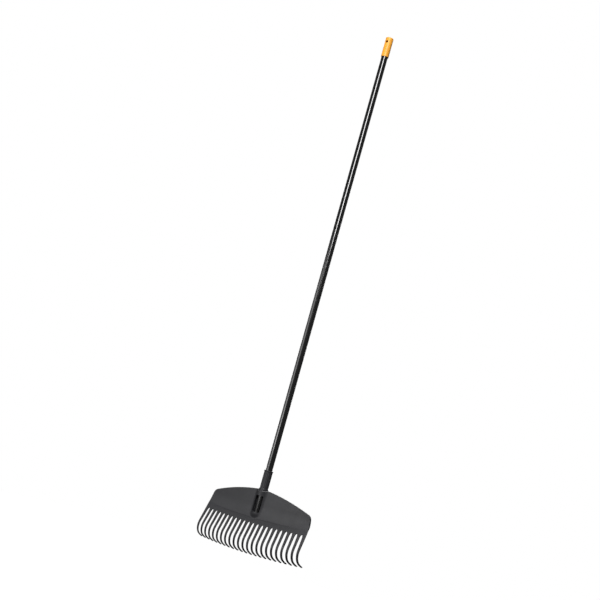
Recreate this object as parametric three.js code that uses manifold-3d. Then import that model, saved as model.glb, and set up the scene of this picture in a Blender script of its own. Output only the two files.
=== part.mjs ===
// A leaf rake: a one-piece moulded comb head on a long coated tube, with a sleeve cap for hanging it up.
// Millimetres. +Z runs up the handle, the outer face of the head is -Y and the tine tips hook towards +Y.
// Heights are counted up from the level of the lowest tine tips. The finished rake is then set down so
// that the middle of its hanging hole is the origin.
import * as THREE from 'three';
import { mergeVertices } from 'three/addons/utils/BufferGeometryUtils.js';
import Module from 'manifold-3d';

const { lerp, mapLinear, smoothstep, degToRad } = THREE.MathUtils;

const wasm = await Module();
wasm.setup();

// ---- driving dimensions -------------------------------------------------------------------------

// Kept open between pieces that touch or press on one another.
const FIT_GAP = 0.3;
// How far a solid runs into the one it is joined to, and a cutter past the one it cuts.
const OVERRUN = 4;

const TUBE = { radius: 11, wall: 0.9, bottom: 125, top: 1750 };
const BORE_RADIUS = TUBE.radius + FIT_GAP;
const PLUG = { radius: TUBE.radius - TUBE.wall - FIT_GAP, bottom: 127, top: 240, chamfer: 1.5 };
const CAP = { radius: 13.1, bottom: 1708, top: 1778, topRound: 2.5, mouthRound: 0.8 };
// The cap is hollow above the end of the tube, and the hanging hole goes through both sides of the hollow.
const HOLLOW = { radius: 10, top: CAP.top - 2.6 };
const HOLE = { radius: 4.6, height: CAP.top - 17 };

const TINE_COUNT = 23;
const LAST_TINE = (TINE_COUNT - 1) / 2;
const TINE_PITCH = { top: 16.6, tip: 18.0 };
const TINE_WIDTH = { root: 8.6, tip: 5.4, rootAt: 121, taper: 1.6 };
const THICKNESS = { plate: 3.2, root: 4.8, tip: 3.4, growsFrom: 92 };

// Side profile of the head, walked from its top edge down to a tine tip. The heading is the angle from
// straight down, positive towards the outer face. Each leg has a length and the turn made along it.
const PROFILE_START = { y: -3.6, z: 209, heading: 2 };
const PROFILE_LEGS = [
  { length: 55, turn: 0 },
  { length: 60, turn: 18 },
  { length: 49, turn: 0 },
  { length: 48, turn: -85.5 },
  { length: 23.5, turn: -12 },
];
const PROFILE_LENGTH = PROFILE_LEGS.reduce((sum, leg) => sum + leg.length, 0);
const SLOT_TOP = 112;
const SLOT_ROUND = 9.5;

// The head is bowed in plan, and its outer tines stand a little higher than the middle ones.
const PLAN_RADIUS = 1149;
const END_RISE = 7.9 / 200 ** 2;

// Side edges: widest at the tips, drawn in towards the upper corners.
const SIDE = { slotHalf: 195.2, tipHalf: 199.6, drawIn: 0.0024, slotPath: 109 };

// Crowned top edge, two long arcs that meet behind the socket.
const CROWN = { height: 206.2, offset: 42, radius: 620, cornerRadius: 8 };

// The lip that turns back along the top and side edges. It runs out between two paths down the sides.
const LIP = { width: 3, slope: 0.6, depth: 4, fadeFrom: 82, fadeTo: 100, bevel: 1 };

// Ribs on the back of the plate. The ends are given as x, path and height above the plate.
const RIB_WIDTH = 2.4;
const CROSS_RIB = {
  from: { x: -188, path: 99, height: 3.2 },
  to: { x: 188, path: 99, height: 3.2 },
  steps: 16,
};
const FAN_RIBS = [
  { from: { x: 10, path: 26, height: 8 }, to: { x: 150, path: 98, height: 2 }, steps: 8 },
  { from: { x: 10, path: 60, height: 9 }, to: { x: 70, path: 98, height: 2.5 }, steps: 5 },
];

const SOCKET = { radius: 15.6, bottom: 118, dome: 6, shoulder: 207, shoulderRound: 2, top: 267 };
const COLLAR = {
  radius: 13.6,
  flute: 0.4,
  flutes: 16,
  flangeRadius: 14.6,
  flangeHeight: 4.5,
  flangeRound: 1,
};
const HOOD = { radius: 17.5, bottomCentre: 128, bottomDepth: 18, top: 201.5, topRound: 1.5, back: -1 };
const WINDOW = { halfWidth: 13.9, bottom: 131, top: 184.5, corner: 3, back: -2 };

const SCREW = {
  height: 225,
  shankRadius: 2.1,
  headRadius: 4.2,
  headHeight: 2.6,
  tip: 3,
  tipRadius: 0.6,
  point: 1.5,
};
const RECESS = { length: 4.2, width: 1, depth: 1.4 };
const SCREW_SEAT = { radius: 5.5, from: 8, y: 14.4 };
const SCREW_HOLE = { radius: SCREW.shankRadius + FIT_GAP + 0.1, from: 0, to: 20 };

// Facets round a large cylinder and round a small one.
const ROUND = 40;
const SMALL_ROUND = 32;

const COLOUR = { head: 0x47474a, tube: 0x0b0b0c, cap: 0xf2a93c, screw: 0x8d9092, plug: 0x2b2b2d };

// ---- solids -------------------------------------------------------------------------------------

function toSolid(geometry) {
  const bare = geometry.clone();
  bare.deleteAttribute('normal');
  bare.deleteAttribute('uv');
  const merged = mergeVertices(bare, 1e-4);
  return new wasm.Manifold(new wasm.Mesh({
    numProp: 3,
    vertProperties: new Float32Array(merged.attributes.position.array),
    triVerts: new Uint32Array(merged.index.array),
  }));
}

function piece(name, solid, colour, roughness, metalness) {
  const { vertProperties, triVerts } = solid.getMesh();
  const indexed = new THREE.BufferGeometry();
  indexed.setAttribute('position', new THREE.BufferAttribute(vertProperties, 3));
  indexed.setIndex(new THREE.BufferAttribute(triVerts, 1));
  const geometry = indexed.toNonIndexed();
  geometry.computeVertexNormals();
  const material = new THREE.MeshStandardMaterial({ color: colour, roughness, metalness });
  const mesh = new THREE.Mesh(geometry, material);
  mesh.name = name;
  return mesh;
}

// A solid of revolution about Z, from [radius, height] pairs that start and end on the axis.
function turned(profile, segments = ROUND) {
  const points = profile.map(([radius, height]) => new THREE.Vector2(radius, height));
  return toSolid(new THREE.LatheGeometry(points, segments).rotateX(Math.PI / 2));
}

function cylinder(radius, bottom, top) {
  return turned([[0, bottom], [radius, bottom], [radius, top], [0, top]]);
}

// A cylinder about Z with rounded rims.
function roundedCylinder(radius, bottom, top, bottomRound, topRound) {
  const turns = [0, 0.25, 0.5, 0.75, 1].map((share) => share * Math.PI / 2);
  const lower = turns.map((turn) => [
    radius - bottomRound * (1 - Math.sin(turn)),
    bottom + bottomRound * (1 - Math.cos(turn)),
  ]);
  const upper = turns.map((turn) => [
    radius - topRound * (1 - Math.cos(turn)),
    top - topRound * (1 - Math.sin(turn)),
  ]);
  return turned([[0, bottom], ...lower, ...upper, [0, top]]);
}

// A round bar along Y between two y values, over x = 0 at the given height.
function barAlongY(radius, from, to, height) {
  const bar = new THREE.CylinderGeometry(radius, radius, to - from, SMALL_ROUND);
  return toSolid(bar.translate(0, (from + to) / 2, height));
}

function screwHole() {
  return barAlongY(SCREW_HOLE.radius, SCREW_HOLE.from, SCREW_HOLE.to, SCREW.height);
}

// ---- the surface of the head --------------------------------------------------------------------

function sideProfile(path) {
  let { y, z } = PROFILE_START;
  let heading = degToRad(PROFILE_START.heading);
  let left = path;
  for (const leg of PROFILE_LEGS) {
    const length = Math.min(left, leg.length);
    const turn = degToRad(leg.turn) * length / leg.length;
    const mean = heading + turn / 2;
    const chord = turn === 0 ? length : length * Math.sin(turn / 2) / (turn / 2);
    y -= chord * Math.sin(mean);
    z -= chord * Math.cos(mean);
    heading += turn;
    left -= length;
    if (left <= 0) break;
  }
  return { y, z, heading };
}

// A point of the head: x across it, path down its profile, depth behind its middle surface.
function onHead(x, path, depth) {
  const { y, z, heading } = sideProfile(path);
  return [
    x,
    y + depth * Math.cos(heading) + x * x / (2 * PLAN_RADIUS),
    z - depth * Math.sin(heading) + END_RISE * x * x,
  ];
}

function pitch(path) {
  return lerp(TINE_PITCH.top, TINE_PITCH.tip, path / PROFILE_LENGTH);
}

function tineWidth(path) {
  const toTip = (PROFILE_LENGTH - path) / (PROFILE_LENGTH - TINE_WIDTH.rootAt);
  return lerp(TINE_WIDTH.tip, TINE_WIDTH.root, toTip ** TINE_WIDTH.taper);
}

// Half the width of the slot between two tines: nothing on the plate, then the half ellipse of its end.
function slotHalf(path) {
  const open = (pitch(path) - tineWidth(path)) / 2;
  const into = Math.min(1, Math.max(0, (path - SLOT_TOP) / SLOT_ROUND));
  return open * Math.sqrt(1 - (1 - into) ** 2);
}

function sideHalf(path) {
  if (path < SIDE.slotPath) return SIDE.slotHalf - SIDE.drawIn * (SIDE.slotPath - path) ** 2;
  return mapLinear(path, SIDE.slotPath, PROFILE_LENGTH, SIDE.slotHalf, SIDE.tipHalf);
}

function thickness(path) {
  if (path > SLOT_TOP) return mapLinear(path, SLOT_TOP, PROFILE_LENGTH, THICKNESS.root, THICKNESS.tip);
  return lerp(THICKNESS.plate, THICKNESS.root, smoothstep(path, THICKNESS.growsFrom, SLOT_TOP));
}

function crownHeight(x, edge) {
  const out = Math.abs(x);
  const arc = ((out + CROWN.offset) ** 2 - CROWN.offset ** 2) / (2 * CROWN.radius);
  const intoCorner = Math.max(0, out - (edge - CROWN.cornerRadius));
  const corner = CROWN.cornerRadius - Math.sqrt(Math.max(0, CROWN.cornerRadius ** 2 - intoCorner ** 2));
  return CROWN.height - arc - corner;
}

// ---- the comb: plate and tines as one closed sheet ----------------------------------------------

// Steps inwards from the outer side of an end tine: a distance on the plate, a share of its width below.
const END_STEPS = [
  { onPlate: 0, onTine: 0 },
  { onPlate: LIP.width, onTine: 0.25 },
  { onPlate: LIP.width + LIP.slope, onTine: 0.5 },
  { onPlate: 6.5, onTine: 0.75 },
];

// Rows of the comb: distances below the top edge, shares of the way from there to the slots, and
// distances below the top of the slots.
const RIM_ROWS = [0, LIP.width, LIP.width + LIP.slope];
const PLATE_ROWS = [0.12, 0.35, 0.6, 0.8, 0.92, 1];
const TINE_ROWS = [1.2, 4.5, SLOT_ROUND, 31, 52, 62, 72, 81, 90, 100, 110, PROFILE_LENGTH - SLOT_TOP];

// The places across a tine, from left to right. -1 and 1 are the sides of an inner tine. An end tine
// counts steps from its outer side, and the last step is its inner side.
function tinePlaces(tine) {
  if (Math.abs(tine) < LAST_TINE) return [-1, 1];
  const steps = [...END_STEPS.keys(), END_STEPS.length];
  return tine < 0 ? steps : steps.reverse();
}

// x of a place of a tine, or of its share of the plate above the slots.
function across(tine, place, path) {
  const centre = tine * pitch(path);
  const half = pitch(path) / 2 - slotHalf(path);
  if (Math.abs(tine) < LAST_TINE) return centre + place * half;
  const inner = Math.abs(centre) - half;
  if (place === END_STEPS.length) return Math.sign(tine) * inner;
  const { onPlate, onTine } = END_STEPS[place];
  const outer = sideHalf(path);
  const inwards = lerp(onPlate, onTine * (outer - inner), smoothstep(path, LIP.fadeFrom, SLOT_TOP));
  return Math.sign(tine) * (outer - inwards);
}

// The path at which a column of the plate meets the crowned top edge, closed in on step by step.
function topPath(tine, place) {
  let path = 10;
  for (let step = 0; step < 10; step += 1) {
    const x = across(tine, place, path);
    const { z, heading } = sideProfile(path);
    path += (z + END_RISE * x * x - crownHeight(x, sideHalf(path))) / Math.cos(heading);
  }
  return path;
}

// Points come in pairs, one on the outer and one on the back surface of the head.
class Sheet {
  positions = [];

  triangles = [];

  point(x, path, depth) {
    this.positions.push(...onHead(x, path, depth));
    return this.positions.length / 3 - 1;
  }

  pair(x, path, bevel, lip) {
    const half = thickness(path) / 2;
    return { front: this.point(x, path, bevel - half), back: this.point(x, path, half + lip) };
  }

  quad(a, b, c, d) {
    this.triangles.push(a, b, c, a, c, d);
  }

  // Both surfaces between two rows of pairs that run from left to right.
  skin(upper, lower) {
    for (let k = 0; k < upper.length - 1; k += 1) {
      const [a, b, c, d] = [upper[k], upper[k + 1], lower[k + 1], lower[k]];
      this.quad(a.front, d.front, c.front, b.front);
      this.quad(a.back, b.back, c.back, d.back);
    }
  }

  // The wall along a line of pairs. Seen from the outer face, walls go round the sheet clockwise.
  wall(pairs) {
    for (let k = 0; k < pairs.length - 1; k += 1) {
      this.quad(pairs[k].front, pairs[k + 1].front, pairs[k + 1].back, pairs[k].back);
    }
  }

  solid() {
    const geometry = new THREE.BufferGeometry();
    geometry.setAttribute('position', new THREE.Float32BufferAttribute(this.positions, 3));
    geometry.setIndex(this.triangles);
    return toSolid(geometry);
  }
}

// One column of the plate, from the top edge down to the top of the slots.
function plateColumn(sheet, tine, place) {
  const start = topPath(tine, place);
  const paths = [
    ...RIM_ROWS.map((below) => start + below),
    ...PLATE_ROWS.map((share) => lerp(start, SLOT_TOP, share)),
  ];
  return paths.map((path, row) => {
    const x = across(tine, place, path);
    const fromSide = sideHalf(path) - Math.abs(x);
    const sideFade = 1 - smoothstep(path, LIP.fadeFrom, LIP.fadeTo);
    const alongTop = RIM_ROWS[row] <= LIP.width ? 1 : 0;
    const alongSide = fromSide < LIP.width + LIP.slope / 2 ? sideFade : 0;
    const topRim = row === 0 ? 1 : 0;
    const sideRim = fromSide < LIP.slope / 2 ? sideFade : 0;
    const bevel = LIP.bevel * Math.max(topRim, sideRim);
    const lip = LIP.depth * Math.max(alongTop, alongSide);
    return sheet.pair(x, path, bevel, lip);
  });
}

function comb() {
  const sheet = new Sheet();
  const tines = [...Array(TINE_COUNT).keys()].map((k) => k - LAST_TINE);
  const columns = tines.flatMap((tine) => tinePlaces(tine).slice(0, -1).map((place) => (
    plateColumn(sheet, tine, place))));
  columns.push(plateColumn(sheet, LAST_TINE, 0));

  const rows = columns[0].map((_, row) => columns.map((column) => column[row]));
  for (let row = 0; row < rows.length - 1; row += 1) sheet.skin(rows[row], rows[row + 1]);
  sheet.wall(rows[0]);
  sheet.wall([...columns[0]].reverse());
  sheet.wall(columns.at(-1));

  const slotRow = rows.at(-1);
  let first = 0;
  for (const tine of tines) {
    const places = tinePlaces(tine);
    const tineRows = [slotRow.slice(first, first + places.length)];
    for (const below of TINE_ROWS) {
      const path = SLOT_TOP + below;
      tineRows.push(places.map((place) => sheet.pair(across(tine, place, path), path, 0, 0)));
      sheet.skin(tineRows.at(-2), tineRows.at(-1));
    }
    sheet.wall(tineRows.map((row) => row.at(-1)));
    sheet.wall([...tineRows.at(-1)].reverse());
    sheet.wall(tineRows.map((row) => row[0]).reverse());
    first += places.length - 1;
  }
  return sheet.solid();
}

// A stiffening rib on the back of the plate. Its ends go from the lower x to the higher one.
function backRib({ from, to, steps }) {
  const along = new THREE.Vector2(to.x - from.x, to.path - from.path).normalize();
  const side = new THREE.Vector2(-along.y, along.x).multiplyScalar(RIB_WIDTH / 2);
  const sheet = new Sheet();
  for (let step = 0; step <= steps; step += 1) {
    const t = step / steps;
    const x = lerp(from.x, to.x, t);
    const path = lerp(from.path, to.path, t);
    const top = thickness(path) / 2 + lerp(from.height, to.height, t);
    sheet.point(x - side.x, path - side.y, 0);
    sheet.point(x + side.x, path + side.y, 0);
    sheet.point(x + side.x, path + side.y, top);
    sheet.point(x - side.x, path - side.y, top);
    const ring = 4 * step;
    for (let k = 0; step > 0 && k < 4; k += 1) {
      const next = (k + 1) % 4;
      sheet.quad(ring - 4 + k, ring - 4 + next, ring + next, ring + k);
    }
  }
  const end = 4 * steps;
  sheet.quad(0, 3, 2, 1);
  sheet.quad(end, end + 1, end + 2, end + 3);
  return sheet.solid();
}

function mirrored({ from, to, steps }) {
  return { from: { ...to, x: -to.x }, to: { ...from, x: -from.x }, steps };
}

// ---- the socket ---------------------------------------------------------------------------------

function flutedCollar(bottom, top) {
  const pointsPerFlute = 4;
  const count = COLLAR.flutes * pointsPerFlute;
  const points = [...Array(count).keys()].map((k) => {
    const angle = k / count * 2 * Math.PI;
    const radius = COLLAR.radius + COLLAR.flute * Math.cos(angle * COLLAR.flutes);
    return new THREE.Vector2(radius * Math.cos(angle), radius * Math.sin(angle));
  });
  const outline = new THREE.Shape(points);
  const collar = new THREE.ExtrudeGeometry(outline, { depth: top - bottom, bevelEnabled: false });
  return toSolid(collar.translate(0, 0, bottom));
}

function socketSolid() {
  const { radius, bottom, dome, shoulder, shoulderRound, top } = SOCKET;
  const flangeBottom = top - COLLAR.flangeHeight;
  const { flangeRadius, flangeRound } = COLLAR;
  return roundedCylinder(radius, bottom, shoulder, dome, shoulderRound)
    .add(flutedCollar(shoulder - OVERRUN, flangeBottom + flangeRound))
    .add(roundedCylinder(flangeRadius, flangeBottom, top, flangeRound, flangeRound))
    .add(barAlongY(SCREW_SEAT.radius, SCREW_SEAT.from, SCREW_SEAT.y, SCREW.height));
}

// The half-round hood on the outer face, which runs out into the plate at its lower end.
function hoodSolid() {
  const { radius, bottomCentre, bottomDepth, top, topRound, back } = HOOD;
  const turns = [0, 1, 2, 3, 4, 5, 6].map((k) => k / 6 * Math.PI / 2);
  const lower = turns.map((turn) => [radius * Math.sin(turn), bottomCentre - bottomDepth * Math.cos(turn)]);
  const upper = [[radius, top - topRound], [radius - topRound, top], [0, top]];
  return turned([...lower, ...upper]).trimByPlane([0, -1, 0], -back);
}

// Cuts the window through the hood and the plate, from in front of them back into the bore.
function windowCut() {
  const { halfWidth: w, bottom, top, corner: r, back } = WINDOW;
  const outline = new THREE.Shape();
  outline.absarc(-w + r, top - r, r, Math.PI, Math.PI / 2, true);
  outline.absarc(w - r, top - r, r, Math.PI / 2, 0, true);
  outline.absarc(w - r, bottom + r, r, 0, -Math.PI / 2, true);
  outline.absarc(-w + r, bottom + r, r, -Math.PI / 2, -Math.PI, true);
  const depth = HOOD.radius + back + OVERRUN;
  const cut = new THREE.ExtrudeGeometry(outline, { depth, bevelEnabled: false, curveSegments: 4 });
  return toSolid(cut.rotateX(Math.PI / 2).translate(0, back, 0));
}

// ---- the pieces ---------------------------------------------------------------------------------

function rakeHead() {
  const ribs = [CROSS_RIB, ...FAN_RIBS, ...FAN_RIBS.map(mirrored)].map(backRib);
  const joined = [...ribs, hoodSolid(), socketSolid()].reduce((head, solid) => head.add(solid), comb());
  const head = joined
    .subtract(cylinder(BORE_RADIUS, TUBE.bottom - FIT_GAP, SOCKET.top + OVERRUN))
    .subtract(windowCut())
    .subtract(screwHole());
  return piece('rake_head', head, COLOUR.head, 0.6, 0);
}

function handleTube() {
  const { radius, wall, bottom, top } = TUBE;
  const tube = cylinder(radius, bottom, top)
    .subtract(cylinder(radius - wall, bottom - OVERRUN, top + OVERRUN))
    .subtract(screwHole());
  return piece('handle_tube', tube, COLOUR.tube, 0.25, 0.3);
}

function tubePlug() {
  const { radius, bottom, top, chamfer } = PLUG;
  const lower = [[0, bottom], [radius - chamfer, bottom], [radius, bottom + chamfer]];
  const upper = [[radius, top - chamfer], [radius - chamfer, top], [0, top]];
  const plug = turned([...lower, ...upper]).subtract(screwHole());
  return piece('tube_plug', plug, COLOUR.plug, 0.7, 0);
}

function endCap() {
  const { radius, bottom, top, mouthRound, topRound } = CAP;
  const reach = radius + OVERRUN;
  const cap = roundedCylinder(radius, bottom, top, mouthRound, topRound)
    .subtract(cylinder(BORE_RADIUS, bottom - OVERRUN, TUBE.top + FIT_GAP))
    .subtract(cylinder(HOLLOW.radius, TUBE.top, HOLLOW.top))
    .subtract(barAlongY(HOLE.radius, -reach, reach, HOLE.height));
  return piece('end_cap', cap, COLOUR.cap, 0.5, 0);
}

// A pan-head screw along Y, from the seat on the back of the socket through the tube into its plug.
function fixingScrew() {
  const { shankRadius, headRadius, headHeight, tip, tipRadius, point } = SCREW;
  const under = SCREW_SEAT.y + FIT_GAP;
  const top = under + headHeight;
  const shank = [[0, tip], [tipRadius, tip], [shankRadius, tip + point], [shankRadius, under]];
  const head = [
    [headRadius, under],
    [headRadius, under + headHeight * 0.45],
    [headRadius * 0.8, under + headHeight * 0.85],
    [headRadius * 0.4, top],
    [0, top],
  ];
  const arm = (width, height) => toSolid(
    new THREE.BoxGeometry(width, height, 2 * RECESS.depth).translate(0, 0, top));
  const screw = turned([...shank, ...head], SMALL_ROUND)
    .subtract(arm(RECESS.length, RECESS.width))
    .subtract(arm(RECESS.width, RECESS.length))
    .rotate([-90, 0, 0])
    .translate([0, 0, SCREW.height]);
  return piece('fixing_screw', screw, COLOUR.screw, 0.35, 0.9);
}

const rake = new THREE.Group();
rake.name = 'leaf_rake';
rake.add(rakeHead(), handleTube(), tubePlug(), endCap(), fixingScrew());
rake.position.z = -HOLE.height;
rake.updateMatrixWorld(true);

export default rake;
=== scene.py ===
import math

import bmesh
import bpy
from mathutils import Matrix, Vector


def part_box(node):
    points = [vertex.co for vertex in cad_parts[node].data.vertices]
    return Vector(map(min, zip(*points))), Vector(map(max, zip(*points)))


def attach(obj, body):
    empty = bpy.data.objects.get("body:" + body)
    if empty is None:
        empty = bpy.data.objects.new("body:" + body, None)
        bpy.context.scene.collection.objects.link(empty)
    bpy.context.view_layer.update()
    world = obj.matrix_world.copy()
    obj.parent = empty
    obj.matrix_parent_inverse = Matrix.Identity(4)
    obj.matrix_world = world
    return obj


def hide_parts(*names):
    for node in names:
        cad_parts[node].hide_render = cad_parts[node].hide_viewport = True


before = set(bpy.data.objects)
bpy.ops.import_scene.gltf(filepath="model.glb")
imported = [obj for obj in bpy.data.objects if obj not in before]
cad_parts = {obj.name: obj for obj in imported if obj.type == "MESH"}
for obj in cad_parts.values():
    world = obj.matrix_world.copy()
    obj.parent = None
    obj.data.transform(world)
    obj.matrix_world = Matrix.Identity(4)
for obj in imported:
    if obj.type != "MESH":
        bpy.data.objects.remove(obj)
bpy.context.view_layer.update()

# A leaf rake: a moulded comb head on a long coated tube, with a sleeve cap for hanging it up.
# Shapes are worked out in millimetres, with heights counted up from the tine tips as on the CAD part,
# and become metres in the row frame where a mesh is made.

MM = 0.001

# ---- sizes that the frame gives -----------------------------------------------------------------

TUBE_BOTTOM = 125.0
TUBE_LOW, TUBE_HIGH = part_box("handle_tube")
CAP_LOW, CAP_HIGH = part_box("end_cap")
PLUG_LOW, PLUG_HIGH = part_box("tube_plug")
SCREW_LOW, SCREW_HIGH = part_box("fixing_screw")
HEAD_LOW, HEAD_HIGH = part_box("rake_head")
TIP_LEVEL = TUBE_LOW.z - TUBE_BOTTOM * MM


def up(z):
    """A height of the row frame, in millimetres above the tine tips."""
    return (z - TIP_LEVEL) / MM


TUBE_RADIUS = TUBE_HIGH.x / MM
TUBE_WALL = 0.9
TUBE_TOP = up(TUBE_HIGH.z)
FIT_GAP = 0.3
BORE_RADIUS = TUBE_RADIUS + FIT_GAP
HOLLOW_RADIUS, HOLLOW_ROOF = 10.0, 2.6

# ---- the head's own measures --------------------------------------------------------------------

TINES = 23
LAST_TINE = (TINES - 1) // 2
PITCH_TOP, PITCH_TIP = 16.6, 18.0
TINE_ROOT, TINE_TIP, TINE_ROOT_AT, TINE_TAPER = 8.6, 5.4, 121.0, 1.6
TIP_ROUND, TIP_NARROWING = 1.5, 0.35
PLATE_THICK, ROOT_THICK, TIP_THICK = 3.2, 4.8, 3.4
THICKENS_FROM = 92.0

# Side profile from the top edge down to a tine tip: y, height and heading at the start, then legs of
# length and turn. The heading is the angle from straight down, positive towards the outer face.
START_Y, START_Z, START_HEADING = -3.6, 209.0, math.radians(2)
LEGS = ((55, 0), (60, 18), (49, 0), (48, -85.5), (23.5, -12))
PATH_END = sum(length for length, turn in LEGS)
SLOT_TOP, SLOT_ROUND = 112.0, 9.5

PLAN_RADIUS = 1149.0
END_RISE = 7.9 / 200 ** 2
SIDE_HALF, SIDE_TIP, SIDE_DRAW, SIDE_FROM = 195.2, 199.6, 0.0024, 109.0
CROWN, CROWN_OFFSET, CROWN_RADIUS, CORNER = 206.2, 42.0, 620.0, 8.0

LIP_WIDTH, LIP_SLOPE, LIP_DEPTH = 3.0, 0.6, 4.0
LIP_FADE = (82.0, 100.0)
# The rim's bevel takes most of its depth at the edge, and the rest one step in from it.
RIM_BEVEL, RIM_STEP = 1.0, 1.5
EDGE_SHARE, STEP_SHARE = 0.85, 0.15
CREASE_AT, CREASE_HALF, CREASE_STEP = 98.0, 1.0, 0.45
CREASE_END = SLOT_TOP + 30

SOCKET_RADIUS, SOCKET_BOTTOM, SOCKET_DOME, SOCKET_SHOULDER = 15.6, 118.0, 6.0, 207.0
SOCKET_TOP = up(HEAD_HIGH.z)
COLLAR_RADIUS, FLUTE, FLUTES = 13.6, 0.4, 16
MOUTH_FLARE = 1.2
FLANGE_RADIUS, FLANGE_HEIGHT = 14.6, 4.5
HOOD_RADIUS, HOOD_BOTTOM, HOOD_TOP = 17.5, 110.3, 201.5
HOOD_ROUND, HOOD_FILLET = 17.4, 8.0
# The barrel behind the plate runs on past the crown, inside the socket.
BARREL_TOP, BARREL_FILLET = 300.0, 5.0
WINDOW_HALF, WINDOW_LOW, WINDOW_HIGH, WINDOW_CORNER, WINDOW_BACK = 13.9, 131.0, 184.5, 3.0, -2.0
SCREW_HEIGHT = up((SCREW_LOW.z + SCREW_HIGH.z) / 2)
SEAT_RADIUS, SEAT_FROM, SEAT_Y = 5.5, 8, 14.4
SCREW_HOLE, SCREW_HOLE_END = 2.5, 20

# Ribs on the back of the plate: two ends of x, path and height, and the number of steps between them.
CROSS_RIB = ((-188, 99, 3.2), (188, 99, 3.2), 60)
FAN_RIBS = (
    ((10, 26, 8), (150, 98, 2), 24),
    ((10, 60, 9), (70, 98, 2.5), 14),
)


# ---- small helpers ------------------------------------------------------------------------------

def mix(a, b, t):
    return a + (b - a) * t


def smooth(low, high, value):
    t = min(1.0, max(0.0, (value - low) / (high - low)))
    return t * t * (3 - 2 * t)


def mesh_piece(name, points, faces):
    """A mesh object from points in millimetres, with its faces turned outwards."""
    mesh = bpy.data.meshes.new(name)
    mesh.from_pydata([(x * MM, y * MM, z * MM + TIP_LEVEL) for x, y, z in points], [], faces)
    shape = bmesh.new()
    shape.from_mesh(mesh)
    bmesh.ops.recalc_face_normals(shape, faces=shape.faces)
    shape.to_mesh(mesh)
    shape.free()
    piece = bpy.data.objects.new(name, mesh)
    bpy.context.scene.collection.objects.link(piece)
    return piece


def apply_modifiers(piece):
    bpy.context.view_layer.update()
    shown = piece.evaluated_get(bpy.context.evaluated_depsgraph_get())
    mesh = bpy.data.meshes.new_from_object(shown)
    piece.modifiers.clear()
    piece.data = mesh
    mesh.name = piece.name


def combine(piece, operation, others):
    """Joins closed meshes to a closed mesh, or cuts them out of it, and removes them."""
    for other in others:
        step = piece.modifiers.new(operation, "BOOLEAN")
        step.operation = operation
        step.solver = "MANIFOLD"
        step.object = other
    apply_modifiers(piece)
    for other in others:
        bpy.data.objects.remove(other)


def shade(piece, angle):
    """Smooth shading, with the edges that bend by more than the angle left sharp."""
    piece.data.polygons.foreach_set("use_smooth", [True] * len(piece.data.polygons))
    piece.data.set_sharp_from_angle(angle=math.radians(angle))


def rounded(corners, closed=False, steps=5):
    """A polyline through corners of (a, b, radius), with an arc of that radius at each one.

    A short straight piece on either side of an arc keeps the shading of the long faces beside it flat.
    """
    count = len(corners)
    places = [Vector((a, b)) for a, b, _ in corners]

    def spokes(k):
        back = (places[k - 1] - places[k]).normalized()
        ahead = (places[(k + 1) % count] - places[k]).normalized()
        return back, ahead, back.angle(ahead) / 2

    def is_arc(k):
        return corners[k][2] > 0 and (closed or k not in (0, count - 1))

    def used(k):
        return corners[k][2] / math.tan(spokes(k)[2]) if is_arc(k) else 0.0

    points = []
    for k, (a, b, radius) in enumerate(corners):
        if not is_arc(k):
            points.append((a, b))
            continue
        here, after = places[k], (k + 1) % count
        back, ahead, half = spokes(k)
        before_free = (places[k - 1] - here).length - used(k) - used((k - 1) % count)
        after_free = (places[after] - here).length - used(k) - used(after)
        centre = here + (back + ahead).normalized() * (radius / math.sin(half))
        start = here + back * used(k) - centre
        end = here + ahead * used(k) - centre
        sweep = start.angle(end)
        points.append(tuple(centre + start + back * min(0.3, before_free / 4)))
        for step in range(steps + 1):
            t = step / steps
            spoke = start * math.sin((1 - t) * sweep) + end * math.sin(t * sweep)
            points.append(tuple(centre + spoke / math.sin(sweep)))
        points.append(tuple(centre + end + ahead * min(0.3, after_free / 4)))
    return points


def lofted(name, rings, looped=False):
    """A closed skin over rings of equally many points. Looped rings come back to the first one."""
    count = len(rings[0])
    points = [point for ring in rings for point in ring]
    faces = []
    for k in range(len(rings) if looped else len(rings) - 1):
        low, high = k * count, (k + 1) % len(rings) * count
        for j in range(count):
            i = (j + 1) % count
            faces.append((low + j, low + i, high + i, high + j))
    if not looped:
        faces.append(tuple(range(count)))
        faces.append(tuple(range(len(points) - count, len(points))))
    return mesh_piece(name, points, faces)


def turned(name, outline, segments=96, axis="Z", height=0.0, looped=False, ripple=None):
    """A solid of revolution. The outline is (radius, place along the axis), with no point on the axis.

    An axis of Y lies at x = 0 at the given height. The ripple adds to the radius by angle and place.
    """
    rings = []
    for radius, along in outline:
        ring = []
        for k in range(segments):
            angle = 2 * math.pi * k / segments
            reach = radius + (ripple(angle, along) if ripple else 0.0)
            a, b = reach * math.cos(angle), reach * math.sin(angle)
            ring.append((a, b, along) if axis == "Z" else (a, along, height - b))
        rings.append(ring)
    return lofted(name, rings, looped)


# ---- the surface of the head --------------------------------------------------------------------

def side_profile(path):
    y, z, heading = START_Y, START_Z, START_HEADING
    left = path
    for length, turn in LEGS:
        walked = min(left, length)
        bend = math.radians(turn) * walked / length
        mean = heading + bend / 2
        chord = walked if bend == 0 else walked * math.sin(bend / 2) / (bend / 2)
        y -= chord * math.sin(mean)
        z -= chord * math.cos(mean)
        heading += bend
        left -= walked
        if left <= 0:
            break
    return y, z, heading


def on_head(x, path, depth):
    """A point of the head: x across it, path down its profile, depth behind its middle surface."""
    y, z, heading = side_profile(path)
    return (
        x,
        y + depth * math.cos(heading) + x * x / (2 * PLAN_RADIUS),
        z - depth * math.sin(heading) + END_RISE * x * x,
    )


def path_at(x, z, depth):
    """The path at which the head, that deep, crosses the height z."""
    path = START_Z - z
    for _ in range(6):
        path += (on_head(x, path, depth)[2] - z) / math.cos(side_profile(path)[2])
    return path


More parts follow.
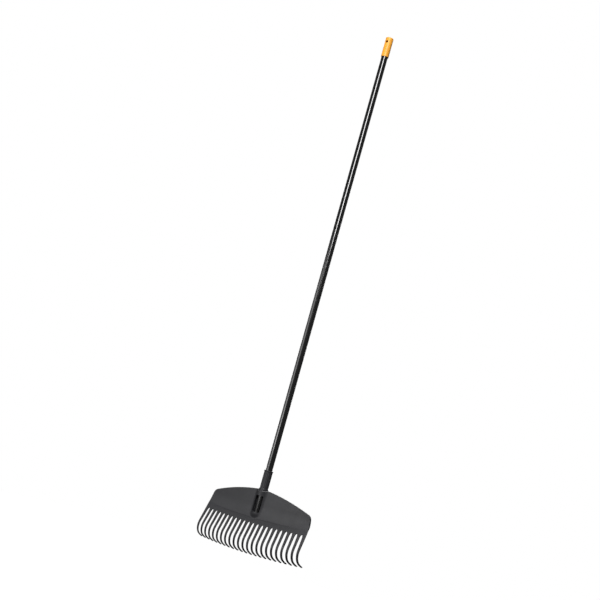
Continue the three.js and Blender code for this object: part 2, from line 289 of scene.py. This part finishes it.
def pitch(path):
    return mix(PITCH_TOP, PITCH_TIP, path / PATH_END)


def tine_width(path):
    t = (PATH_END - path) / (PATH_END - TINE_ROOT_AT)
    return TINE_TIP + (TINE_ROOT - TINE_TIP) * max(0.0, t) ** TINE_TAPER


def slot_half(path):
    t = min(1.0, max(0.0, (path - SLOT_TOP) / SLOT_ROUND))
    return (pitch(path) - tine_width(path)) / 2 * math.sqrt(1 - (1 - t) ** 2)


def side_half(path):
    if path < SIDE_FROM:
        return SIDE_HALF - SIDE_DRAW * (SIDE_FROM - path) ** 2
    return mix(SIDE_HALF, SIDE_TIP, (path - SIDE_FROM) / (PATH_END - SIDE_FROM))


def thickness(path):
    if path < SLOT_TOP:
        return mix(PLATE_THICK, ROOT_THICK, smooth(THICKENS_FROM, SLOT_TOP, path))
    return mix(ROOT_THICK, TIP_THICK, (path - SLOT_TOP) / (PATH_END - SLOT_TOP))


def crown_height(x, edge):
    across = abs(x)
    arc = ((across + CROWN_OFFSET) ** 2 - CROWN_OFFSET ** 2) / (2 * CROWN_RADIUS)
    into_corner = max(0.0, across - (edge - CORNER))
    corner = CORNER - math.sqrt(max(0.0, CORNER ** 2 - into_corner ** 2))
    return CROWN - arc - corner


# ---- the comb: plate and tines as one cage for a subdivision surface ----------------------------

# Places across a tine's share of the width, -1 and 1 being its sides. Between two tines a side is shared.
INNER_PLACES = (-1.0, -0.6, 0.0, 0.6, 1.0)
# Distances in from the outer side of an end tine: on the plate, and as shares of the tine's width.
END_PLATE = (0.0, RIM_STEP, LIP_WIDTH, LIP_WIDTH + LIP_SLOPE, 6.5)
END_TINE = (0.0, 0.2, 0.4, 0.6, 0.8)
END_MIDDLE = 3
# Distances below the top edge, and then paths just above the slots.
RIM_ROWS = (0.0, RIM_STEP, LIP_WIDTH, LIP_WIDTH + LIP_SLOPE, 6.0)
PLATE_ROWS = 11
CREASE_ROWS = (
    CREASE_AT - 3.5, CREASE_AT - CREASE_HALF, CREASE_AT + CREASE_HALF, CREASE_AT + 3.5, 107.0, SLOT_TOP,
)
TINE_ROWS = 22
WALL_SHARE = 0.3


def across(tine, place, path):
    """x of a place of a tine. End tines count their places from the outer side, as a step number."""
    centre = tine * pitch(path)
    inner_half = pitch(path) / 2 - slot_half(path)
    if abs(tine) < LAST_TINE:
        return centre + place * inner_half
    inner = abs(centre) - inner_half
    outer = side_half(path)
    if place == len(END_PLATE):
        return math.copysign(inner, tine)
    onto_tine = smooth(LIP_FADE[0], SLOT_TOP, path)
    inwards = mix(END_PLATE[place], END_TINE[place] * (outer - inner), onto_tine)
    return math.copysign(outer - inwards, tine)


def tine_places(tine):
    if abs(tine) < LAST_TINE:
        return list(INNER_PLACES)
    steps = list(range(len(END_PLATE) + 1))
    return steps if tine < 0 else steps[::-1]


def top_path(tine, place):
    path = 10.0
    for _ in range(10):
        x = across(tine, place, path)
        _, z, heading = side_profile(path)
        path += (z + END_RISE * x * x - crown_height(x, side_half(path))) / math.cos(heading)
    return path


def plate_depths(x, path, below_top):
    """Depths of the outer and the back surface, with the bevelled rim, the lip and the crease."""
    from_side = side_half(path) - abs(x)
    fade = 1 - smooth(*LIP_FADE, path)
    half = thickness(path) / 2

    def within(width):
        """1 that near to the top edge. Near a side edge it fades out where the lip does."""
        reach = width + 1e-3
        if below_top < reach:
            return 1.0
        return fade if from_side < reach else 0.0

    bevel = RIM_BEVEL * (STEP_SHARE * within(RIM_STEP) + EDGE_SHARE * within(0.0))
    begun = smooth(CREASE_AT - CREASE_HALF, CREASE_AT + CREASE_HALF, path)
    ended = smooth(CREASE_AT + CREASE_HALF, CREASE_END, path)
    crease = CREASE_STEP * begun * (1 - ended)
    return bevel - half - crease, half + LIP_DEPTH * within(LIP_WIDTH)


class Cage:
    def __init__(self):
        self.points = []
        self.faces = []

    def point(self, x, path, depth):
        self.points.append(on_head(x, path, depth))
        return len(self.points) - 1

    def column(self, x, path, front, back, with_wall):
        """Front and back points, and between them the two that hold a wall's edges."""
        inset = WALL_SHARE * min(back - front, ROOT_THICK)
        ends = [self.point(x, path, front), self.point(x, path, back)]
        wall = None
        if with_wall:
            wall = [self.point(x, path, front + inset), self.point(x, path, back - inset)]
        return {"front": ends[0], "back": ends[1], "wall": wall}

    def strip(self, upper, lower):
        """A wall between two columns: front, two edge holders and back."""
        a = [upper["front"], *upper["wall"], upper["back"]]
        b = [lower["front"], *lower["wall"], lower["back"]]
        for k in range(3):
            self.faces.append((a[k], a[k + 1], b[k + 1], b[k]))

    def cell(self, a, b, c, d):
        """The outer and the back face between four columns."""
        self.faces.append((a["front"], d["front"], c["front"], b["front"]))
        self.faces.append((a["back"], b["back"], c["back"], d["back"]))


def comb():
    cage = Cage()
    columns = []
    for tine in range(-LAST_TINE, LAST_TINE + 1):
        for place in tine_places(tine)[:-1]:
            columns.append((tine, place))
    columns.append((LAST_TINE, 0))

    plate = []
    for number, (tine, place) in enumerate(columns):
        start = top_path(tine, place)
        paths = [start + row for row in RIM_ROWS]
        rows = [mix(paths[-1], CREASE_ROWS[0], (k + 1) / (PLATE_ROWS + 1)) for k in range(PLATE_ROWS)]
        paths += rows + list(CREASE_ROWS)
        outer = number in (0, len(columns) - 1)
        between = place == -1 or place == len(END_PLATE)
        column = []
        for row, path in enumerate(paths):
            x = across(tine, place, path)
            front, back = plate_depths(x, path, path - start)
            with_wall = outer or row == 0 or (between and row == len(paths) - 1)
            column.append(cage.column(x, path, front, back, with_wall))
        plate.append(column)

    last = len(plate[0]) - 1
    for left, right in zip(plate, plate[1:]):
        for row in range(last):
            cage.cell(left[row], right[row], right[row + 1], left[row + 1])
        cage.strip(left[0], right[0])
    for side in (plate[0], plate[-1]):
        for row in range(last):
            cage.strip(side[row], side[row + 1])

    first = 0
    for tine in range(-LAST_TINE, LAST_TINE + 1):
        places = tine_places(tine)
        middle = 0 if abs(tine) < LAST_TINE else END_MIDDLE
        above = [column[last] for column in plate[first:first + len(places)]]
        first += len(places) - 1
        for path in tine_paths():
            below = []
            for number, place in enumerate(places):
                x = across(tine, place, path)
                narrowing = TIP_NARROWING * smooth(PATH_END - TIP_ROUND, PATH_END, path)
                x = mix(x, across(tine, middle, path), narrowing)
                half = thickness(path) / 2 * (1 - narrowing)
                crease = plate_depths(0.0, path, PATH_END)[0] + thickness(path) / 2
                edge = number in (0, len(places) - 1)
                below.append(cage.column(x, path, crease - half, half, edge))
            for k in range(len(places) - 1):
                cage.cell(above[k], above[k + 1], below[k + 1], below[k])
            cage.strip(above[0], below[0])
            cage.strip(above[-1], below[-1])
            above = below
        tip = [c["front"] for c in above] + above[-1]["wall"]
        tip += [c["back"] for c in reversed(above)] + above[0]["wall"][::-1]
        cage.faces.append(tuple(tip))

    piece = mesh_piece("comb", cage.points, cage.faces)
    surface = piece.modifiers.new("surface", "SUBSURF")
    surface.levels = 2
    surface.render_levels = 2
    apply_modifiers(piece)
    return piece


def tine_paths():
    """Paths down a tine: close together at the round end of the slot and at the tip."""
    paths = [SLOT_TOP + 1.2, SLOT_TOP + 4.5, SLOT_TOP + SLOT_ROUND]
    for k in range(1, TINE_ROWS + 1):
        paths.append(mix(paths[2], PATH_END - TIP_ROUND, k / TINE_ROWS))
    return paths + [PATH_END]


# ---- what stands on the plate -------------------------------------------------------------------

def smooth_least(a, b, width):
    """The lesser of two distances, rounded where they meet."""
    overlap = max(0.0, width - abs(a - b))
    return min(a, b) - overlap * overlap / (4 * width)


def filleted_barrel(name, side, radius, bottom, end_round, top, fillet):
    """A half-round barrel standing out of the plate, with a fillet all round. Side -1 is the outer face."""
    reach, low = radius + 11.0, bottom - 8.0
    rows, halvings = 64, 22
    sunk = 1.5
    xs = [radius * 0.97 * math.sin(math.radians(80) * k / 12) for k in range(13)]
    xs += [mix(xs[12], reach, (k / 9) ** 1.4) for k in range(1, 10)]
    xs = [-x for x in reversed(xs[1:])] + xs

    def distance(x, y, z, plate_y):
        from_plate = side * (y - plate_y)
        out = math.hypot(x, y) - (radius - end_round)
        down = bottom + end_round - z
        body = math.hypot(max(out, 0.0), max(down, 0.0)) + min(max(out, down), 0.0) - end_round
        body = -smooth_least(-body, top - z, 3.0)
        return smooth_least(from_plate, body, fillet)

    surface, inside = [], []
    for x in xs:
        high = crown_height(x, SIDE_HALF) - 1.5
        for row in range(rows + 1):
            z = mix(low, high, row / rows)
            path = path_at(x, z, side * PLATE_THICK / 2)
            plate_y = on_head(x, path, side * thickness(path) / 2)[1]
            near, far = plate_y - side * 0.5, side * (radius + 6)
            for _ in range(halvings):
                middle = (near + far) / 2
                if distance(x, middle, z, plate_y) < 0:
                    near = middle
                else:
                    far = middle
            surface.append((x, near - side * 0.07, z))
            inside.append((x, plate_y - side * sunk, z))
    count, step = len(surface), rows + 1
    faces = []
    for c in range(len(xs) - 1):
        for r in range(rows):
            a = c * step + r
            faces.append((a, a + 1, a + step + 1, a + step))
            faces.append((count + a, count + a + step, count + a + step + 1, count + a + 1))
    border = [c * step for c in range(len(xs))]
    border += [(len(xs) - 1) * step + r for r in range(1, rows + 1)]
    border += [c * step + rows for c in range(len(xs) - 2, -1, -1)]
    border += range(rows - 1, 0, -1)
    for a, b in zip(border, border[1:] + border[:1]):
        faces.append((a, b, count + b, count + a))
    return mesh_piece(name, surface + inside, faces)


def socket():
    collar_low = SOCKET_SHOULDER + 1.5
    flange_low = SOCKET_TOP - FLANGE_HEIGHT
    outline = rounded([
        (0.5, SOCKET_BOTTOM, 0),
        (SOCKET_RADIUS, SOCKET_BOTTOM, SOCKET_DOME),
        (SOCKET_RADIUS, SOCKET_SHOULDER, 1.2),
        (COLLAR_RADIUS, collar_low, 0.8),
        (COLLAR_RADIUS, collar_low + 3, 0),
        (COLLAR_RADIUS, collar_low + 5, 0),
        (COLLAR_RADIUS, flange_low - 3, 0),
        (COLLAR_RADIUS, flange_low - 1.5, 0),
        (COLLAR_RADIUS, flange_low, 0.5),
        (FLANGE_RADIUS, flange_low + 0.5, 0.9),
        (FLANGE_RADIUS, SOCKET_TOP, 1.0),
        (0.5, SOCKET_TOP, 0),
    ])

    def flutes(angle, z):
        begun = smooth(collar_low + 2.5, collar_low + 5, z)
        ended = smooth(flange_low - 3, flange_low - 1.5, z)
        return FLUTE * (begun * (1 - ended)) * math.cos(FLUTES * angle)

    return turned("socket", outline, segments=FLUTES * 12, ripple=flutes)


def screw_seat():
    outline = rounded([
        (0.5, SEAT_FROM, 0),
        (SEAT_RADIUS, SEAT_FROM, 0),
        (SEAT_RADIUS, SEAT_Y, 0.4),
        (0.5, SEAT_Y, 0),
    ])
    return turned("screw_seat", outline, segments=48, axis="Y", height=SCREW_HEIGHT)


def screw_hole():
    """The tool that cuts the screw's hole, from the handle's axis out through the back."""
    outline = [(SCREW_HOLE, 0), (SCREW_HOLE, SCREW_HOLE_END)]
    return turned("hole", outline, segments=48, axis="Y", height=SCREW_HEIGHT)


def back_rib(start, end, steps):
    """A rib on the back of the plate. Its ends are (x, path, height), and its top is rounded."""
    direction = Vector((end[0] - start[0], end[1] - start[1])).normalized()
    side = Vector((-direction.y, direction.x))
    section = [(-1.7, -1.0), (-1.3, 0.0), (-1.05, 0.75), (-0.75, 0.94), (-0.3, 1.0)]
    section += [(-a, b) for a, b in reversed(section)]
    rings = []
    for step in range(steps + 1):
        t = step / steps
        x, path, height = (mix(a, b, t) for a, b in zip(start, end))
        ring = []
        for a, b in section:
            depth = thickness(path) / 2 + (height * b if b > 0 else b)
            ring.append(on_head(x + side.x * a, path + side.y * a, depth))
        rings.append(ring)
    return lofted("back_rib", rings)


def window():
    w, low, high, r = WINDOW_HALF, WINDOW_LOW, WINDOW_HIGH, WINDOW_CORNER
    outline = rounded([(-w, low, r), (w, low, r), (w, high, r), (-w, high, r)], closed=True)
    rings = [[(x, y, z) for x, z in outline] for y in (-HOOD_RADIUS - 15, WINDOW_BACK)]
    return lofted("window", rings)


def rake_head():
    head = comb()
    head.name = "head_shell"
    ribs = [back_rib(*CROSS_RIB)]
    for side in (-1, 1):
        for (inner, *start), (outer, *end), steps in FAN_RIBS:
            ribs.append(back_rib((side * inner, *start), (side * outer, *end), steps))
    hood = filleted_barrel("hood", -1, HOOD_RADIUS, HOOD_BOTTOM, HOOD_ROUND, HOOD_TOP, HOOD_FILLET)
    barrel = filleted_barrel(
        "barrel", 1, SOCKET_RADIUS, SOCKET_BOTTOM, SOCKET_DOME, BARREL_TOP, BARREL_FILLET)
    combine(head, "UNION", [*ribs, hood, barrel, socket(), screw_seat()])
    bore = turned("bore", [
        (BORE_RADIUS, TUBE_BOTTOM - FIT_GAP),
        (BORE_RADIUS, SOCKET_TOP - 1),
        (BORE_RADIUS + MOUTH_FLARE, SOCKET_TOP + 0.2),
        (BORE_RADIUS + MOUTH_FLARE, SOCKET_TOP + 5),
    ])
    combine(head, "DIFFERENCE", [bore, window(), screw_hole()])
    shade(head, 38)
    return head


# ---- tube, plug, cap and screw ------------------------------------------------------------------

def handle_tube():
    inner, outer = TUBE_RADIUS - TUBE_WALL, TUBE_RADIUS
    outline = rounded([
        (inner, TUBE_BOTTOM, 0.25),
        (outer, TUBE_BOTTOM, 0.3),
        (outer, TUBE_TOP, 0.3),
        (inner, TUBE_TOP, 0.25),
    ], closed=True, steps=3)
    tube = turned("tube_shell", outline, segments=128, looped=True)
    combine(tube, "DIFFERENCE", [screw_hole()])
    shade(tube, 40)
    return tube


def tube_plug():
    radius, low, high = PLUG_HIGH.x / MM, up(PLUG_LOW.z), up(PLUG_HIGH.z)
    chamfer, groove, groove_half, floor_half, soft = 1.5, 0.5, 2, 1.4, 0.2
    corners = [(0.5, low, 0), (radius, low, chamfer)]
    for share in (0.12, 0.3, 0.7, 0.88):
        z = mix(low, high, share)
        corners += [(radius, z - groove_half, soft), (radius - groove, z - floor_half, soft)]
        corners += [(radius - groove, z + floor_half, soft), (radius, z + groove_half, soft)]
    corners += [(radius, high, chamfer), (0.5, high, 0)]
    plug = turned("plug_body", rounded(corners, steps=4))
    combine(plug, "DIFFERENCE", [screw_hole()])
    shade(plug, 40)
    return plug


def end_cap():
    radius, low, high = CAP_HIGH.x / MM, up(CAP_LOW.z), up(CAP_HIGH.z)
    outline = rounded([(0.5, low, 0), (radius, low, 0.8), (radius, high, 2.5), (0.5, high, 0)], steps=8)
    cap = turned("cap_sleeve", outline)
    seat, mouth = TUBE_TOP + FIT_GAP, 0.5
    bore = turned("bore", rounded([
        (BORE_RADIUS + mouth, low - 4, 0),
        (BORE_RADIUS + mouth, low, 0),
        (BORE_RADIUS, low + mouth, 0),
        (BORE_RADIUS, seat, 0),
        (HOLLOW_RADIUS, seat, 0),
        (HOLLOW_RADIUS, high - HOLLOW_ROOF, 1.5),
        (0.5, high - HOLLOW_ROOF, 0),
    ]))
    hole_radius, flare, set_in = 4.6, 0.4, 0.4
    side = []
    for degrees in range(0, 91, 15):
        a = math.radians(degrees)
        reach = hole_radius + flare * (1 - math.cos(a))
        side.append((reach, radius - flare - set_in + flare * math.sin(a)))
    side.append((hole_radius + flare, radius + 3))
    outline = [(r, -y) for r, y in reversed(side)] + side
    hole = turned("hole", outline, segments=64, axis="Y", height=up(0.0))
    combine(cap, "DIFFERENCE", [bore, hole])
    shade(cap, 40)
    return cap


def fixing_screw():
    """A pan-head screw along Y with its head at the back. The thread is cut by a ripple of the radius."""
    tip, head_top = SCREW_LOW.y / MM, SCREW_HIGH.y / MM
    head_radius, shank, root = SCREW_HIGH.x / MM, 2.1, 1.6
    under = SEAT_Y + FIT_GAP
    thread_pitch, thread_end = 1.6, under - 1.5
    rows = 120
    outline = [(0.1, tip), (0.7, tip + 0.6)]
    outline += [(root, mix(tip + 1.6, under - 0.2, k / rows)) for k in range(rows + 1)]
    outline += rounded([
        (root, under - 0.1, 0),
        (shank, under, 0),
        (head_radius, under, 0.3),
        (head_radius, under + 1.2, 0.9),
        (head_radius * 0.45, head_top, 0.8),
        (0.2, head_top, 0),
    ])

    def thread(angle, y):
        if y < tip + 1.0 or y > under - 0.15:
            return 0.0
        turn = (y / thread_pitch - angle / (2 * math.pi)) % 1.0
        ridge = max(0.0, 1 - abs(turn - 0.5) * 3.4)
        fade = smooth(tip + 1.0, tip + 3.0, y) * (1 - smooth(thread_end, under - 0.3, y))
        return (shank - root) * (ridge * fade + smooth(thread_end, under - 0.3, y))

    screw = turned("pan_head_screw", outline, segments=64, axis="Y", height=SCREW_HEIGHT, ripple=thread)
    arm_long, arm_wide, recess_depth = 2.1, 0.5, 1.4
    levels = ((head_top - recess_depth, 0.55), (head_top + 1, 1.1))
    arms = []
    for wide, tall in ((arm_long, arm_wide), (arm_wide, arm_long)):
        top = [(-wide, -tall), (wide, -tall), (wide, tall), (-wide, tall)]
        rings = [[(x * s, y, z * s + SCREW_HEIGHT) for x, z in top] for y, s in levels]
        arms.append(lofted("arm", rings))
    combine(screw, "DIFFERENCE", arms)
    shade(screw, 35)
    return screw


# ---- materials ----------------------------------------------------------------------------------

def surface_material(name, dark, light, rough, cloud, grain, bump, **shader_values):
    """Colour drifts between dark and light, roughness between two values, over a fine moulded grain.

    cloud and grain are features per metre; bump is the grain's depth in metres.
    """
    material = bpy.data.materials.new(name)
    material.use_nodes = True
    nodes, links = material.node_tree.nodes, material.node_tree.links
    shader = nodes["Principled BSDF"]
    place = nodes.new("ShaderNodeTexCoord").outputs["Object"]

    def noise(scale, detail):
        node = nodes.new("ShaderNodeTexNoise")
        node.inputs["Scale"].default_value = scale
        node.inputs["Detail"].default_value = detail
        links.new(place, node.inputs["Vector"])
        return node.outputs["Fac"]

    drift = noise(cloud, 4.0)
    ramp = nodes.new("ShaderNodeValToRGB")
    ramp.color_ramp.elements[0].position = 0.35
    ramp.color_ramp.elements[0].color = (*dark, 1)
    ramp.color_ramp.elements[1].position = 0.65
    ramp.color_ramp.elements[1].color = (*light, 1)
    links.new(drift, ramp.inputs["Fac"])
    links.new(ramp.outputs["Color"], shader.inputs["Base Color"])

    spread = nodes.new("ShaderNodeMapRange")
    spread.inputs["From Min"].default_value = 0.3
    spread.inputs["From Max"].default_value = 0.7
    spread.inputs["To Min"].default_value = rough[0]
    spread.inputs["To Max"].default_value = rough[1]
    links.new(noise(cloud * 3.1, 6.0), spread.inputs["Value"])
    links.new(spread.outputs["Result"], shader.inputs["Roughness"])

    relief = nodes.new("ShaderNodeBump")
    relief.inputs["Strength"].default_value = 1.0
    relief.inputs["Distance"].default_value = bump
    links.new(noise(grain, 3.0), relief.inputs["Height"])
    links.new(relief.outputs["Normal"], shader.inputs["Normal"])

    for socket_name, value in shader_values.items():
        shader.inputs[socket_name.replace("_", " ")].default_value = value
    return material


def moulded_head():
    return surface_material("moulded_head", (0.023, 0.023, 0.026), (0.030, 0.030, 0.034), (0.38, 0.46),
                            cloud=9, grain=1400, bump=0.00006, IOR=1.49)


def glossy_coating():
    return surface_material("glossy_coating", (0.003, 0.003, 0.0032), (0.0048, 0.0048, 0.0052), (0.13, 0.17),
                            cloud=14, grain=380, bump=0.00002, IOR=1.8)


def orange_plastic():
    return surface_material("orange_plastic", (0.78, 0.33, 0.030), (0.86, 0.38, 0.040), (0.38, 0.48),
                            cloud=40, grain=1600, bump=0.00004, IOR=1.49)


def zinc_steel():
    return surface_material("zinc_steel", (0.42, 0.42, 0.41), (0.55, 0.55, 0.52), (0.24, 0.40),
                            cloud=300, grain=3000, bump=0.00001, Metallic=1.0)


def black_nylon():
    return surface_material("black_nylon", (0.020, 0.020, 0.021), (0.028, 0.028, 0.029), (0.55, 0.7),
                            cloud=60, grain=1500, bump=0.00005)


def floor_paper():
    return surface_material("floor_paper", (0.28, 0.28, 0.28), (0.32, 0.32, 0.32), (0.85, 0.95), cloud=0.6,
                            grain=60, bump=0.0001, Emission_Color=(1, 1, 1, 1), Emission_Strength=0.97)


# ---- camera, light and floor --------------------------------------------------------------------

CAMERA_AIM = Vector((-0.0453, -0.0268, -0.9357))
CAMERA_DISTANCE = 3.755
CAMERA_AZIMUTH, CAMERA_ELEVATION, CAMERA_ROLL = (math.radians(a) for a in (34.0, -9.716, 15.77))
CAMERA_LENS = 68.97
FLOOR_DROP, FLOOR_HALF = 0.45, 6.0

# Lights: name, azimuth, distance and height of the two ends, width, height they face, radiance.
LIGHTS = (
    ("upper_strip", (22.5, 3.0, -0.05), (22.5, 3.0, 1.9), 0.95, -0.3, 16.5),
    ("lower_softbox", (-20, 3.0, -1.6), (-20, 3.0, -0.15), 1.6, -1.2, 2.1),
    ("side_softbox", (-52, 3.0, -1.6), (-52, 3.0, -0.15), 1.6, -1.2, 1.1),
    ("low_strip", (-17, 2.9, -1.32), (-17, 2.9, -1.10), 0.9, -1.4, 5.0),
    ("top_softbox", (12, 2.2, 2.2), (12, 1.2, 3.4), 2.4, -0.9, 8.0),
    ("back_softbox", (213, 3.0, -2.0), (213, 3.0, 0.4), 1.4, -0.8, 4.0),
)


def make_camera():
    a, e, roll = CAMERA_AZIMUTH, CAMERA_ELEVATION, CAMERA_ROLL
    back = Vector((math.sin(a) * math.cos(e), -math.cos(a) * math.cos(e), math.sin(e)))
    level = Vector((math.cos(a), math.sin(a), 0))
    upright = back.cross(level)
    right = math.cos(roll) * level + math.sin(roll) * upright
    top = -math.sin(roll) * level + math.cos(roll) * upright
    camera = bpy.data.objects.new("camera", bpy.data.cameras.new("camera"))
    camera.matrix_world = Matrix.Translation(CAMERA_AIM + back * CAMERA_DISTANCE) @ Matrix(
        (right, top, back)).transposed().to_4x4()
    camera.data.lens = CAMERA_LENS
    camera.data.clip_end = 100
    bpy.context.scene.collection.objects.link(camera)
    bpy.context.scene.camera = camera


def area_light(name, low_end, high_end, width, aim_height, radiance):
    """A long soft light between two ends, facing a height on the handle, by its radiance."""
    low, high = Vector(around(*low_end)), Vector(around(*high_end))
    middle = (low + high) / 2
    data = bpy.data.lights.new(name, "AREA")
    data.shape = "RECTANGLE"
    data.size = width
    data.size_y = (high - low).length
    data.energy = radiance * math.pi * data.size * data.size_y
    light = bpy.data.objects.new(name, data)
    back = (middle - Vector((0, 0, aim_height))).normalized()
    along = (high - low).normalized()
    back = (back - along * back.dot(along)).normalized()
    side = along.cross(back)
    light.matrix_world = Matrix.Translation(middle) @ Matrix((side, along, back)).transposed().to_4x4()
    bpy.context.scene.collection.objects.link(light)


def around(azimuth, distance, z):
    """A place round the handle. Azimuth 0 is in front of the head, and grows towards +X."""
    a = math.radians(azimuth)
    return (distance * math.sin(a), -distance * math.cos(a), z)


def make_lights():
    for light in LIGHTS:
        area_light(*light)
    world = bpy.data.worlds.new("studio")
    world.use_nodes = True
    bpy.context.scene.world = world
    nodes, links = world.node_tree.nodes, world.node_tree.links
    nodes.clear()
    output = nodes.new("ShaderNodeOutputWorld")
    blend = nodes.new("ShaderNodeMixShader")
    sight = nodes.new("ShaderNodeLightPath")
    dim, bright = nodes.new("ShaderNodeBackground"), nodes.new("ShaderNodeBackground")
    dim.inputs["Color"].default_value = (0.12, 0.12, 0.12, 1)
    bright.inputs["Color"].default_value = (1.0, 1.0, 1.0, 1)
    links.new(sight.outputs["Is Camera Ray"], blend.inputs["Fac"])
    links.new(dim.outputs["Background"], blend.inputs[1])
    links.new(bright.outputs["Background"], blend.inputs[2])
    links.new(blend.outputs["Shader"], output.inputs["Surface"])
    bpy.context.scene.view_settings.view_transform = "Standard"


def make_floor():
    z = HEAD_LOW.z - FLOOR_DROP
    corners = [(FLOOR_HALF * x, FLOOR_HALF * y, z) for x, y in ((-1, -1), (1, -1), (1, 1), (-1, 1))]
    mesh = bpy.data.meshes.new("floor")
    mesh.from_pydata(corners, [], [(0, 1, 2, 3)])
    floor = bpy.data.objects.new("floor", mesh)
    bpy.context.scene.collection.objects.link(floor)
    floor.data.materials.append(floor_paper())
    floor.visible_diffuse = False
    floor.visible_glossy = False


# ---- the pieces on their body -------------------------------------------------------------------

PIECES = (
    (rake_head, "rake_head", moulded_head, "head_plastic"),
    (handle_tube, "handle_tube", glossy_coating, "tube_coating"),
    (tube_plug, "tube_plug", black_nylon, "plug_plastic"),
    (end_cap, "end_cap", orange_plastic, "cap_plastic"),
    (fixing_screw, "fixing_screw", zinc_steel, "screw_steel"),
)

make_camera()
make_lights()
make_floor()
for make_piece, node, make_material, finish in PIECES:
    piece = make_piece()
    material = make_material()
    piece.data.materials.clear()
    piece.data.materials.append(material)
    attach(piece, "root")
    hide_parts(node)
